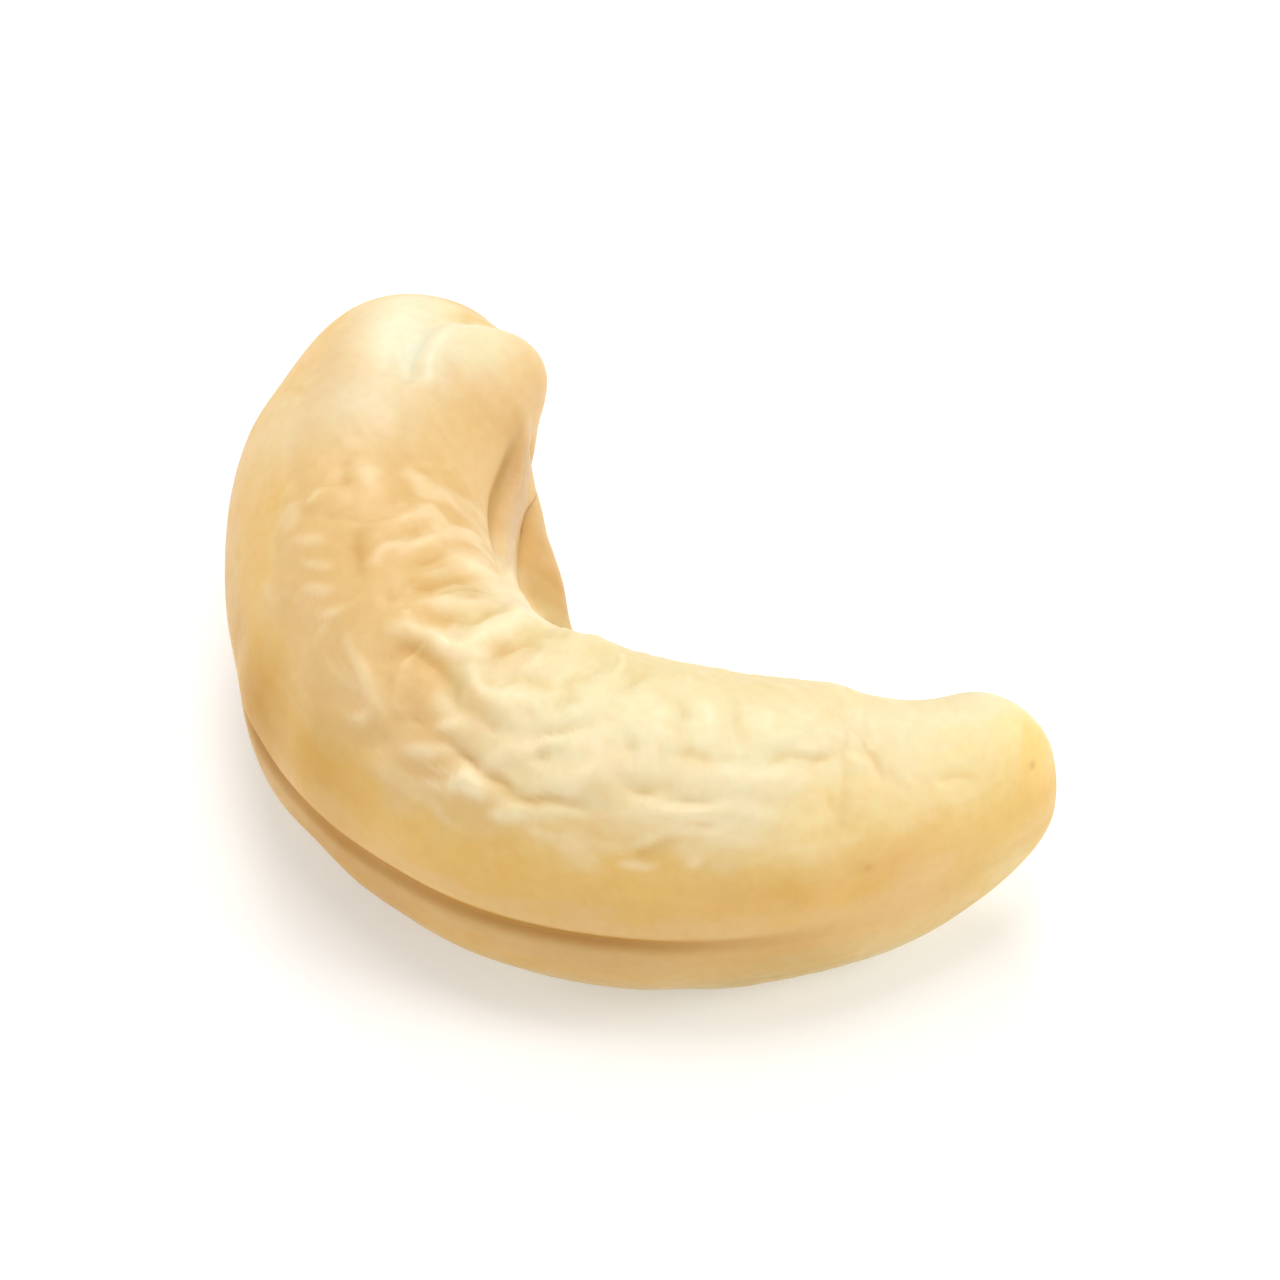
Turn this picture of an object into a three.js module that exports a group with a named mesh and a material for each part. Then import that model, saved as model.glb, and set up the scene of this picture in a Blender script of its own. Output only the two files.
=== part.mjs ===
import * as THREE from 'three';
import { mergeVertices } from 'three/addons/utils/BufferGeometryUtils.js';

// A whole roasted cashew kernel with its skin off, lying on its side as it lies on a table.
// It grew as two halves pressed together, so one body carries the seam all round as a groove.
// All lengths are in millimetres. x and y run along the level seam, z is up.

// The kernel as cross sections along its bent middle line, from the blunt tip to the slim tip.
// outer is the half width on the outside of the bend, innerTop and innerLow those of the upper
// and the lower half on its inside, top and low the heights above and below z = 0.
const SECTIONS = [
  { x: 3.0, y: 14.9, outer: 3.9, innerTop: 3.6, innerLow: 3.6, top: 3.9, low: 4.3 },
  { x: 1.1, y: 14.5, outer: 4.2, innerTop: 3.9, innerLow: 4.0, top: 4.2, low: 4.8 },
  { x: -1.1, y: 12.4, outer: 4.3, innerTop: 4.2, innerLow: 5.3, top: 4.5, low: 5.1 },
  { x: -2.3, y: 8.8, outer: 4.4, innerTop: 4.2, innerLow: 6.9, top: 4.8, low: 5.1 },
  { x: -2.3, y: 3.8, outer: 4.3, innerTop: 4.5, innerLow: 7.4, top: 5.0, low: 5.1 },
  { x: -0.5, y: -0.4, outer: 4.8, innerTop: 4.9, innerLow: 6.8, top: 5.1, low: 5.1 },
  { x: 3.2, y: -3.4, outer: 5.0, innerTop: 5.2, innerLow: 5.5, top: 5.1, low: 5.1 },
  { x: 8.0, y: -4.6, outer: 4.7, innerTop: 5.2, innerLow: 5.2, top: 5.0, low: 5.1 },
  { x: 12.0, y: -4.3, outer: 3.9, innerTop: 4.4, innerLow: 4.4, top: 4.5, low: 5.1 },
  { x: 15.6, y: -3.4, outer: 2.5, innerTop: 3.1, innerLow: 3.1, top: 3.7, low: 4.4 },
  { x: 19.1, y: -1.8, outer: 2.0, innerTop: 3.4, innerLow: 3.4, top: 3.2, low: 3.0 },
];
const SEAM_HEIGHT = -0.6;
const BLUNT_CAP = 4.4;
const SLIM_CAP = 3.0;
const CAP_POWER = 2.3;
const INNER_ROUNDING = 0.91;
const HALVES_BLEND = 0.16;

// The underside is worn to a small level spot at this height, which the kernel rests on.
const REST_HEIGHT = -4.94;

// The seam: a soft pinch between the halves with a narrow groove in its middle.
const PINCH = { outer: 0.2, inner: 0.25, spread: 1.3 };
const GROOVE = { outer: 0.42, inner: 0.5, spread: 0.26 };
const SEAM_START = 0.15;
const SEAM_FULL = 0.7;

// The small step in the inner edge, by arc length from the slim tip.
const STEP = { depth: 0.35, start: 6.9, full: 5.9, ease: 4.0, end: 1.0 };

// The rounded nub at the blunt tip, and the crease that the halves' rim leaves round its far side.
const NUB = { centre: new THREE.Vector3(2.6, 12.9, 2.3), lift: 0.5, spread: 2.1 };
const CREASE = { centre: new THREE.Vector3(1.55, 11.6, 2.9), radius: 2.8, depth: 0.36, spread: 0.45 };
const CREASE_SIDE = new THREE.Vector2(-0.64, 0.77);
const CREASE_EDGE = { from: 0.15, to: 0.5 };

// Wrinkles that run across the kernel like a fan from the inside of the bend.
// pace is in radians for each millimetre along the middle line.
const WRINKLES = [
  { height: 0.08, pace: 2.1, sway: 1.6, turns: 2, start: 0.7 },
  { height: 0.06, pace: 3.4, sway: -2.2, turns: 3, start: 2.0 },
];
const WRINKLE_DRIFT = 0.37;
const WRINKLE_SPAN = { from: 5, full: 10, ease: 12, end: 5 };
const WRINKLE_BELT = { from: 0.15, to: 0.7 };
const WRINKLE_WALL = { from: 0.5, to: 0.95 };

// The longest extent lies along x after this turn.
const TURN = Math.PI / 4;

// Mesh density
const STEPS_ALONG = 84;
const STEPS_ROUND = 44;
const TIP_CROWDING = 0.55;
const SEAM_CROWDING = 0.6;

const smooth = THREE.MathUtils.smoothstep;

function bell(distance, spread) {
  return Math.exp(-((distance / spread) ** 2));
}

// A uniform cubic B-spline through the sections' values, with t from 0 to 1.
function between(key, t) {
  const last = SECTIONS.length - 1;
  const place = THREE.MathUtils.clamp(t, 0, 1) * last;
  const first = Math.min(Math.floor(place), last - 1);
  const u = place - first;
  const value = (index) => {
    if (index < 0) {
      return 2 * SECTIONS[0][key] - SECTIONS[1][key];
    }
    if (index > last) {
      return 2 * SECTIONS[last][key] - SECTIONS[last - 1][key];
    }
    return SECTIONS[index][key];
  };
  return (
    ((1 - u) ** 3 * value(first - 1)
      + (3 * u ** 3 - 6 * u ** 2 + 4) * value(first)
      + (-3 * u ** 3 + 3 * u ** 2 + 3 * u + 1) * value(first + 1)
      + u ** 3 * value(first + 2)) / 6
  );
}

class MiddleLine extends THREE.Curve {
  getPoint(t, target = new THREE.Vector3()) {
    return target.set(between('x', t), between('y', t), SEAM_HEIGHT);
  }
}

// How far the sections have grown from a tip, as a share of their full size.
function capGrowth(distance, cap) {
  const left = THREE.MathUtils.clamp(1 - distance / cap, 0, 1);
  return (1 - left ** CAP_POWER) ** (1 / CAP_POWER);
}

// How deep the seam lies at a height above or below it.
function seamDepth(side, height) {
  const pinch = PINCH[side] * bell(height, PINCH.spread);
  const groove = GROOVE[side] * Math.exp(-Math.abs(height) / GROOVE.spread);
  return pinch + groove;
}

function stepDepth(fromSlimTip) {
  const rise = smooth(-fromSlimTip, -STEP.start, -STEP.full);
  const fade = smooth(fromSlimTip, STEP.end, STEP.ease);
  return STEP.depth * rise * fade;
}

function wrinkleHeight(along, total, angle) {
  const span = smooth(along, WRINKLE_SPAN.from, WRINKLE_SPAN.full)
    * smooth(total - along, WRINKLE_SPAN.end, WRINKLE_SPAN.ease);
  const offBelt = 1 - smooth(Math.cos(angle), WRINKLE_BELT.from, WRINKLE_BELT.to);
  const offWall = 1 - smooth(-Math.cos(angle), WRINKLE_WALL.from, WRINKLE_WALL.to);
  let height = 0;
  for (const wave of WRINKLES) {
    const bent = wave.sway * Math.sin(wave.turns * angle + WRINKLE_DRIFT * along);
    height += wave.height * Math.sin(wave.pace * along + bent + wave.start);
  }
  return height * span * offBelt * offWall;
}

// The nub's lift less the crease's depth at a point of the surface.
function nubHeight(point) {
  const lift = NUB.lift * bell(point.distanceTo(NUB.centre), NUB.spread);
  const across = new THREE.Vector2(point.x - CREASE.centre.x, point.y - CREASE.centre.y).normalize();
  const farSide = smooth(across.dot(CREASE_SIDE), CREASE_EDGE.from, CREASE_EDGE.to);
  const offCrease = point.distanceTo(CREASE.centre) - CREASE.radius;
  return lift - CREASE.depth * bell(offCrease, CREASE.spread) * farSide;
}

// The point of the surface at a share of the middle line's length and an angle round the section.
// The angle is 0 on the outside of the bend and a quarter turn on top.
function surfacePoint(middle, share, angle) {
  const total = middle.getLength();
  const along = share * total;
  const t = middle.getUtoTmapping(share);
  const ahead = middle.getTangent(t);
  const outward = new THREE.Vector3(ahead.y, -ahead.x, 0);
  const up = new THREE.Vector3(0, 0, 1);
  const cos = Math.cos(angle);
  const sin = Math.sin(angle);

  const bluntGrowth = capGrowth(along, BLUNT_CAP);
  const growth = bluntGrowth * capGrowth(total - along, SLIM_CAP);
  const height = sin > 0 ? (between('top', t) - SEAM_HEIGHT) * sin : (between('low', t) + SEAM_HEIGHT) * sin;
  const seamReach = smooth(Math.abs(cos), SEAM_START, SEAM_FULL);
  let width;
  if (cos > 0) {
    width = between('outer', t) * cos - seamDepth('outer', height) * seamReach;
  } else {
    const upper = 0.5 + 0.5 * Math.tanh(sin / HALVES_BLEND);
    const reach = THREE.MathUtils.lerp(between('innerLow', t), between('innerTop', t), upper);
    const step = stepDepth(total - along) * Math.abs(cos);
    width = -reach * Math.abs(cos) ** INNER_ROUNDING + seamDepth('inner', height) * seamReach + step;
  }

  const point = middle.getPoint(t);
  point.addScaledVector(outward, width * growth);
  point.addScaledVector(up, height * growth);

  const wrinkle = wrinkleHeight(along, total, angle);
  const facing = new THREE.Vector3().addScaledVector(outward, cos).addScaledVector(up, sin);
  point.addScaledVector(facing, wrinkle);
  facing.multiplyScalar(bluntGrowth).addScaledVector(ahead, bluntGrowth - 1).normalize();
  point.addScaledVector(facing, nubHeight(point));
  point.z = Math.max(point.z, REST_HEIGHT);
  return point;
}

// Shares of a full turn or length, crowded where the shape turns fast.
function crowded(share, crowding, waves) {
  return share - (crowding * Math.sin(2 * Math.PI * waves * share)) / (2 * Math.PI * waves);
}

function kernelGeometry() {
  const middle = new MiddleLine();
  middle.arcLengthDivisions = 800;
  const ball = new THREE.SphereGeometry(1, STEPS_ROUND, STEPS_ALONG);
  const places = ball.attributes.position;
  const grid = ball.attributes.uv;
  for (let index = 0; index < places.count; index += 1) {
    const row = Math.floor(index / (STEPS_ROUND + 1));
    const column = index % (STEPS_ROUND + 1);
    const share = crowded(row / STEPS_ALONG, TIP_CROWDING, 1);
    const angle = 2 * Math.PI * crowded((column % STEPS_ROUND) / STEPS_ROUND, SEAM_CROWDING, 2);
    const point = surfacePoint(middle, share, angle);
    places.setXYZ(index, point.x, point.y, point.z);
  }
  ball.deleteAttribute('normal');
  ball.deleteAttribute('uv');
  const skin = mergeVertices(ball, 1e-4);
  skin.rotateZ(TURN);
  skin.computeBoundingBox();
  const box = skin.boundingBox;
  skin.translate(-(box.min.x + box.max.x) / 2, -(box.min.y + box.max.y) / 2, -box.min.z);
  skin.computeVertexNormals();
  return skin;
}

const roasted = new THREE.MeshStandardMaterial({ color: 0xe9c88f, roughness: 0.5, metalness: 0 });

const kernel = new THREE.Mesh(kernelGeometry(), roasted);
kernel.name = 'cashew_kernel';

const group = new THREE.Group();
group.add(kernel);

export default group;
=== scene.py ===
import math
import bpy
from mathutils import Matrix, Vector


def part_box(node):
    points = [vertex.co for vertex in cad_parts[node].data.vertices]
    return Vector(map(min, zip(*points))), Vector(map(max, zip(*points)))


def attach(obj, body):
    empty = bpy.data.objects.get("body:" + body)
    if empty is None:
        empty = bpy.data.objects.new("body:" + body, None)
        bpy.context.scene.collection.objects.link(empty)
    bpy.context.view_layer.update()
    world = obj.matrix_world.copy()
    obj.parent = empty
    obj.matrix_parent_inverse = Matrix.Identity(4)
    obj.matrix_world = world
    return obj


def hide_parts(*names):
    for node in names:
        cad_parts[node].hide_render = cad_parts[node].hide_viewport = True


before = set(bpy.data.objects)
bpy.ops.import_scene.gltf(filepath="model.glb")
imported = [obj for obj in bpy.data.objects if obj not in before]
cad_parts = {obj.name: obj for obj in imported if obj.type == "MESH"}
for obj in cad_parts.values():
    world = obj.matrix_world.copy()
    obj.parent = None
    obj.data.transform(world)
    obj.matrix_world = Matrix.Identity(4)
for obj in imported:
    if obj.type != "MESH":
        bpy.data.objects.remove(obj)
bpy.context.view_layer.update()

# A whole roasted cashew kernel with its skin off, lying on its side on a pale floor.
# The surface repeats the solid's form in millimetres and adds its wrinkles, seam, pit and colours.
# Where a pair's comment says nothing else, a share rises from 0 at its first number to 1 at its
# second.

from types import SimpleNamespace

import bpy
import numpy as np
from mathutils import Vector

MM = 0.001

# The kernel as cross sections along its bent middle line, from the blunt tip to the slim tip.
# x and y run along the level seam, z is up, and +x is the picture's right-hand side. outer is the
# half width on the outside of the bend, inner_top and inner_low those of the upper and the lower
# half on its inside, top and low the heights above and below z = 0.
SECTION_KEYS = ("x", "y", "outer", "inner_top", "inner_low", "top", "low")
SECTIONS = np.array([
    [3.0, 14.9, 3.9, 3.6, 3.6, 3.9, 4.3],
    [1.1, 14.5, 4.2, 3.9, 4.0, 4.2, 4.8],
    [-1.1, 12.4, 4.3, 4.2, 5.3, 4.5, 5.1],
    [-2.3, 8.8, 4.4, 4.2, 6.9, 4.8, 5.1],
    [-2.3, 3.8, 4.3, 4.5, 7.4, 5.0, 5.1],
    [-0.5, -0.4, 4.8, 4.9, 6.8, 5.1, 5.1],
    [3.2, -3.4, 5.0, 5.2, 5.5, 5.1, 5.1],
    [8.0, -4.6, 4.7, 5.2, 5.2, 5.0, 5.1],
    [12.0, -4.3, 3.9, 4.4, 4.4, 4.5, 5.1],
    [15.6, -3.4, 2.5, 3.1, 3.1, 3.7, 4.4],
    [19.1, -1.8, 2.0, 3.4, 3.4, 3.2, 3.0],
])
SEAM_HEIGHT = -0.6
BLUNT_CAP = 4.4
SLIM_CAP = 3.0
CAP_POWER = 2.3
INNER_ROUNDING = 0.91
HALVES_BLEND = 0.16
REST_HEIGHT = -4.94
# The underside's swells come in over these heights above the rest spot.
REST_FADE = (0.0, 0.9)
# The longest extent lies along x after this turn.
TURN = math.radians(45)

# The seam: a soft pinch between the halves with a narrow groove in its middle. On the outside its
# flanks are laid back, so that the camera sees into it. It reaches in from both sides.
PINCH = {"outer": 0.13, "inner": 0.25, "spread": 1.3}
GROOVE = {"outer": 0.24, "inner": 0.5, "spread": 0.26}
SEAM_REACH = (0.15, 0.7)

# The groove fades towards the slim tip, by arc length from the blunt tip, to these shares of its
# depth. Where it has gone, a share of the pinch stays. Inside the bend it starts softly.
SEAM_FADE = (25, 32)
SEAM_LEFT = {"outer": 0.08, "inner": 0.6}
PINCH_LEFT = 0.4
INNER_SEAM_START = (1.5, 6.0)

# The small step in the inner edge, by arc length from the slim tip, start counting backwards.
STEP = {"depth": 0.35, "start": (-6.9, -5.9), "end": (1.0, 4.0)}

# The rounded nub at the blunt tip, and the crease on its far side, where CREASE_SIDE points.
NUB = {"centre": (2.6, 12.9, 2.3), "lift": 0.5, "spread": 2.1}
CREASE = {"centre": (1.55, 11.6, 2.9), "radius": 2.8, "depth": 0.36, "spread": 0.45}
CREASE_SIDE = (-0.64, 0.77)
CREASE_EDGE = (0.15, 0.5)

# The lower half's outer side is slimmer along the blunt arm, where the upper half hides it. start
# and end are arc lengths, outside is the share of facing outwards, below is under the seam.
TUCK = {"depth": 0.32, "start": (2, 5), "end": (11, 16), "outside": (0.2, 0.7), "below": (0.0, 0.5)}

# Small swells and hollows that bring the outline closer: centre, spread and height.
TRIMS = (
    ((-2.4, 14.2, 3.6), 2.4, 0.36),
    ((-5.4, 9.6, 2.4), 2.6, 0.17),
    ((3.0, 13.2, 1.9), 1.3, 0.34),
    ((2.8, 12.7, 2.9), 1.2, 0.42),
    ((2.5, 15.8, 1.5), 1.5, -0.22),
    ((2.4, 13.8, 3.0), 1.0, 0.20),
    ((15.4, -1.2, 2.6), 2.0, -0.12),
    ((19.4, -5.0, -2.0), 4.2, -0.34),
    ((-4.4, -3.6, -2.4), 1.8, -0.16),
    ((1.3, 15.2, 3.0), 1.5, -0.24),
    ((3.0, 10.5, -1.1), 1.6, 0.25),
    ((4.0, 6.0, -1.1), 1.6, -0.30),
    ((4.6, -0.6, 4.0), 1.2, 0.18),
    ((12.6, -2.2, 3.7), 1.2, 0.16),
    ((-1.6, -5.4, -2.6), 2.2, -0.20),
    ((10.6, -8.0, -3.0), 2.5, -0.22),
    ((2.9, 3.7, 2.7), 1.1, 0.5),
    ((-6.1, 3.0, 1.0), 1.2, -0.12),
    ((-5.6, 1.0, -0.1), 1.0, 0.08),
    ((-3.6, -2.2, -3.3), 1.6, -0.16),
    ((18.9, -2.6, 2.2), 1.4, 0.13),
    ((18.0, -2.0, 2.9), 1.2, 0.08),
    ((17.6, -4.0, -2.4), 1.5, -0.10),
    ((-5.3, 11.3, 2.3), 1.3, 0.08),
    ((13.4, -1.3, 2.8), 1.1, -0.09),
    ((5.1, 0.0, 3.7), 1.0, 0.08),
    ((10.6, -1.9, 4.0), 1.1, 0.06),
    ((3.7, 7.5, -1.1), 1.1, -0.08),
)

# The golden outer belt ends at this angle above the seam, which is wider near the blunt tip than
# beyond it, by arc length, and a little wider again at the slim tip.
BELT_EDGE = {"near_blunt": math.radians(58), "beyond": math.radians(36), "change": (11, 18)}
BELT_RISE = {"by": math.radians(14), "start": (31, 36)}

# How far inside each tip the angles round the tip are taken from.
TIP_CENTRES = (3.4, 2.6)
# Near the tips the angles are blurred this much, so that no colours meet in one point.
TIP_SOFTENED = (2.0, 6.0)
TIP_SOFTENING = 1.5
# How far the belt's gold reaches up the blunt tip, 1 being as far as on the slim tip.
BLUNT_TIP_BELT = 0.3

# The flap of the upper half's inner wall and the groove over it. Heights are above the seam, and
# the flap starts higher up, behind the nub. The span is by arc length and by facing inwards.
FLAP = {"lift": 0.36, "at": 0.92, "start_at": 1.75, "above": 0.55, "edge": 0.16}
FLAP_BELOW = (-0.75, -0.1)
FLAP_SPAN = {"start": (2.0, 3.6), "end": (8.5, 13.0), "lowering": (2.0, 7.0), "inside": (0.35, 0.6)}
FLAP_GROOVE = {"depth": 0.19, "over": 1.0, "spread": 0.42}
# Both grow to their full relief over these arc lengths.
FLAP_GROWTH = (2.4, 6.0)

# The small pit at the blunt tip's hidden inner end, where the seedling's root would come out.
PIT = {"along": 1.0, "angle": math.radians(176), "depth": 0.5, "radius": 0.5}
ROOT_TIP = {"lift": 0.46, "radius": 0.24}

# Single wrinkles where they show best, as seen from the camera: height, half width and path,
# in millimetres to the right of and above the seam frame's origin.
RIDGES = (
    (0.10, 0.36, ((-2.1, 8), (-1.8, 7.5))),
    (0.10, 0.23, ((-0.8, 7.9), (0, 7.2), (0.7, 6.8))),
    (0.06, 0.22, ((-4.2, 6.8), (-4.4, 6.1))),
    (0.10, 0.23, ((-1.1, 6.4), (-0.1, 6.6), (0.4, 5.8))),
    (0.11, 0.23, ((-1.8, 5.1), (-1.3, 5.5), (-0.4, 5.7), (0.4, 5.9), (1.2, 5.8), (2, 5.4))),
    (0.07, 0.16, ((-4.2, 5.7), (-3.4, 5.8))),
    (0.07, 0.18, ((-3.9, 5.1), (-3.1, 4.9))),
    (0.07, 0.18, ((-3.9, 4.2), (-3.2, 4.2))),
    (0.08, 0.20, ((-3.4, 3.4), (-2.8, 3.6))),
    (0.12, 0.33, ((0.7, 5.2), (1.6, 4.9), (2.5, 4.3), (3.1, 3.5))),
    (0.03, 0.19, ((-0.3, 3.8), (0.5, 4), (1.3, 3.8), (2, 3.9))),
    (0.10, 0.26, ((-1.3, 3), (-0.7, 3.1), (0.1, 2.8), (0.8, 2.4), (1.5, 2.3))),
    (0.12, 0.33, ((1.1, 2.6), (1.8, 3), (2.6, 3.4), (3.3, 3.5))),
    (0.09, 0.26, ((-2.5, 2.6), (-2.1, 1.8), (-1.7, 0.9), (-1.4, 0.4))),
    (0.08, 0.26, ((1.2, 1.8), (1.6, 1.1), (2.3, 0.9), (3.1, 0.8))),
    (0.06, 0.22, ((-2.4, 0.3), (-1.7, 0.4))),
    (0.10, 0.26, ((-0.7, -0.7), (0.3, -0.7))),
    (0.07, 0.22, ((0.2, 0), (0.9, 0.1))),
    (0.16, 0.33, ((0.6, -1.8), (1.1, -1.5), (1.7, -2))),
    (0.06, 0.18, ((-0.2, -1.7), (0.4, -1.8))),
    (0.09, 0.22, ((1.9, -2.6), (2.7, -2.6))),
    (0.08, 0.22, ((1.6, -1.2), (2.3, -0.7), (3, -0.5), (3.7, -0.4))),
    (0.08, 0.29, ((3.3, -1.7), (4.2, -1.7), (4.9, -1.2))),
    (0.04, 0.20, ((5.6, -2.6), (6.5, -2.5), (7.7, -2.6), (9.1, -2.9))),
    (0.03, 0.18, ((11.1, -0.6), (11.8, -0.5), (12.4, -0.2))),
    (0.06, 0.29, ((8.4, 0.6), (8.5, -0.2))),
    (0.05, 0.29, ((6.9, 0.6), (6.9, -0.4))),
    (0.05, 0.29, ((10.2, 0.6), (10.3, -0.3))),
    (0.05, 0.29, ((9.1, -1.5), (11.3, -1.5))),
)
VALLEYS = (
    (0.09, 0.22, ((-2.8, 8.1), (-2.7, 7.5), (-2.5, 7))),
    (0.07, 0.16, ((-3.9, 6.6), (-3.1, 6.6), (-2.6, 6.7))),
    (0.11, 0.19, ((-1.5, 4.1), (-0.4, 4.4), (0.7, 4.5), (1.7, 4.2), (2.4, 3.9))),
    (0.10, 0.20, ((-0.1, 3.5), (0.7, 3.4), (1.5, 3.4), (2.1, 3.7), (2.6, 4))),
    (0.10, 0.22, ((-1.2, 5.8), (-0.7, 5.8), (-0.1, 6))),
    (0.12, 0.36, ((-2.2, 6.1), (-2.4, 5.5), (-2.1, 4.8))),
    (0.05, 0.20, ((-0.9, 7.3), (-0.1, 7.2))),
    (0.05, 0.26, ((-1.1, 5), (0, 5.2), (1.1, 5.5))),
    (0.10, 0.36, ((-1.2, 2.7), (-0.5, 2.4), (0.1, 2), (0.7, 1.4))),
    (0.08, 0.26, ((1.9, 2.3), (2.5, 2.6), (3.1, 2.8), (3.9, 2.8))),
    (0.10, 0.22, ((1.8, 1.3), (2.7, 1.5), (3.6, 1.5))),
    (0.05, 0.29, ((-4.1, 3.5), (-3.9, 3))),
    (0.06, 0.29, ((-0.8, 9.3), (-0.7, 8.2))),
    (0.06, 0.15, ((0.4, 7.4), (1.2, 6.9))),
    (0.07, 0.29, ((-1.9, 2.2), (-1.2, 2.2), (-0.5, 2.5))),
    (0.08, 0.29, ((0.5, 1.5), (0.8, 0.8), (1.2, 0.3))),
    (0.09, 0.22, ((3.9, 0.6), (4.3, 1.4), (4.8, 1.8), (5.2, 2))),
    (0.07, 0.18, ((5.6, 1.1), (6.2, 1.5), (6.6, 1.7))),
    (0.05, 0.18, ((5.2, 0.2), (5.6, 0.7), (5.9, 0.9))),
    (0.10, 0.18, ((2.1, -1.1), (2.7, -0.6), (3.4, -0.2), (4.2, 0), (5, 0.1))),
    (0.12, 0.22, ((0.4, -0.4), (1.1, -0.9), (1.8, -1.5), (2.3, -1.7))),
    (0.07, 0.18, ((1.5, 0.4), (2, 0), (2.5, -0.1))),
    (0.08, 0.22, ((3.1, -1), (3.7, -0.7))),
    (0.05, 0.18, ((5.8, -0.5), (6.4, -0.5))),
    (0.08, 0.22, ((-0.8, 0.2), (-0.1, 0.2))),
    (0.08, 0.20, ((5.6, -1.8), (6.4, -1.9), (7.2, -1.8))),
    (0.07, 0.18, ((7.1, -2.2), (8.5, -2.1))),
    (0.08, 0.20, ((7.7, -3), (8.8, -2.9))),
    (0.08, 0.29, ((5.8, -3.6), (6.5, -3.7), (7.4, -3.4))),
    (0.08, 0.22, ((2.6, -2.2), (3.6, -2.1), (4.7, -2.4))),
    (0.07, 0.18, ((7.6, 1), (7.65, 0.1))),
    (0.06, 0.19, ((9.3, 0.9), (9.5, -0.4))),
    (0.05, 0.18, ((7.2, -0.7), (8.4, -0.9), (9, -0.9))),
    (0.07, 0.18, ((10.5, -0.9), (11.5, -0.8), (12.3, -0.8))),
    (0.07, 0.18, ((13, 0.1), (13.3, -0.7), (13.7, -1.3))),
    (0.03, 0.16, ((11.9, -2), (12.2, -2.6))),
    (0.04, 0.18, ((12.6, 1.1), (12.6, -1.2), (12.4, -2.8))),
    (0.04, 0.18, ((15.3, -1.5), (16.5, -1.5))),
    (0.05, 0.22, ((-1.7, 6.8), (-1.1, 6.9))),
    (0.06, 0.19, ((-2.2, -0.5), (-1.4, -0.4))),
)

# Pale dabs without relief along the belt's edge: share, half width and path, as seen likewise.
DABS = (
    (0.5, 0.20, ((6.6, -2.8), (7.4, -3.0), (8.2, -3.0))),
    (0.55, 0.17, ((5.8, -4.1), (6.9, -4.1))),
    (0.5, 0.20, ((7.7, -4.1), (8.2, -3.9))),
    (0.45, 0.24, ((8.5, -3.3), (10.3, -3.4))),
    (0.4, 0.18, ((2.9, -3.0), (3.6, -3.3))),
    (0.4, 0.18, ((4.0, -3.6), (4.8, -3.7))),
)

# How much higher and wider these wrinkles are than listed, and how sharply they fall off.
RIDGE = {"strength": 1.55, "width": 1.1, "power": 1.6}
VALLEY = {"strength": 1.85, "width": 1.2, "power": 1.3}
# At both ends of a path a wrinkle has this share of its height.
PATH_END = 0.55
# How far the paths wander, in millimetres.
PATH_WOBBLE = 0.12
# A ridge's crest is pale by this share, and by this much more for each millimetre of its height,
# partly as painted highlight.
CREST_PALENESS = (0.4, 5)
CREST_EDGE = (0.05, 0.9)
# On the blunt arm these wrinkles are softer, by how high they show in the picture's plane.
ARM_SOFTER = {"by": 0.35, "up": (2.6, 4.4)}
# They fade out where the surface turns away from the camera.
SEEN_EDGE = (0.05, 0.3)

# The fold round the nub at the blunt tip, and the nub's rim just inside it, as seen likewise.
NUB_FOLD = {
    "depth": 0.13,
    "spread": 0.20,
    "path": (
        (1.0, 12.6), (0.4, 12.6), (0.1, 12.4), (-0.3, 12.0),
        (-0.6, 11.5), (-0.85, 11.0), (-1.0, 10.3),
    ),
}
NUB_RIM = {
    "lift": 0.14,
    "spread": 0.34,
    "path": ((1.9, 12.0), (1.1, 12.2), (0.5, 12.2), (0.15, 11.9), (-0.1, 11.4), (-0.35, 10.8)),
}

# Noises over the surface: seed, wave length along the kernel in millimetres, waves round it.
NOISES = {
    "sway": (11, 2.7, 11),
    "lean": (12, 2.1, 13),
    "fan": (13, 1.15, 15),
    "small": (14, 0.55, 22),
    "swell": (15, 3.7, 9),
    "patches": (16, 3.4, 12),
    "streaks": (17, 2.4, 70),
    "dabs": (18, 0.62, 24),
    "dab_patches": (19, 2.8, 14),
    "path_right": (21, 0.9, 30),
    "path_up": (22, 0.9, 30),
    "belt_broad": (31, 2.6, 9),
    "belt_middle": (32, 1.3, 30),
    "belt_fine": (33, 0.8, 70),
    "cream_broad": (41, 3.0, 9),
    "cream_fine": (42, 1.0, 20),
    "toast_and_shade": (43, 4.2, 8),
}
NOISE_ROWS = 64
NOISE_GAIN = 1.5

# Wrinkles by formula, which cover the faces also where the camera sees none: a fan of broad ones,
# small ones, dabs, streaks along the belt's edge and swells of the whole surface, in millimetres.
HEIGHTS = {"fan": 0.26, "small": 0.12, "dabs": 0.07, "streaks": 0.05, "swell": 0.09}
# Their lines sway along by millimetres and lean round by turns, some kinds by another share.
SWAY = 0.8
LEAN = 0.05
SWAY_SHARES = {"small": 1.3, "dabs": 0.8}
STREAK_LEAN = 0.4
# Off the wrinkled faces this share of the swells is left.
SWELL_LEFT = 0.35
# Waves are rounded by this much, and lowered by about their mean.
ROUNDING = 0.02
ROUNDED_DROP = 0.36
# The faces start past the belt's edge, by angle, and end at the inner wall, by facing inwards.
FACE_EDGE = (-0.25, 0.25)
WALL_EDGE = (0.55, 0.95)
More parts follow.
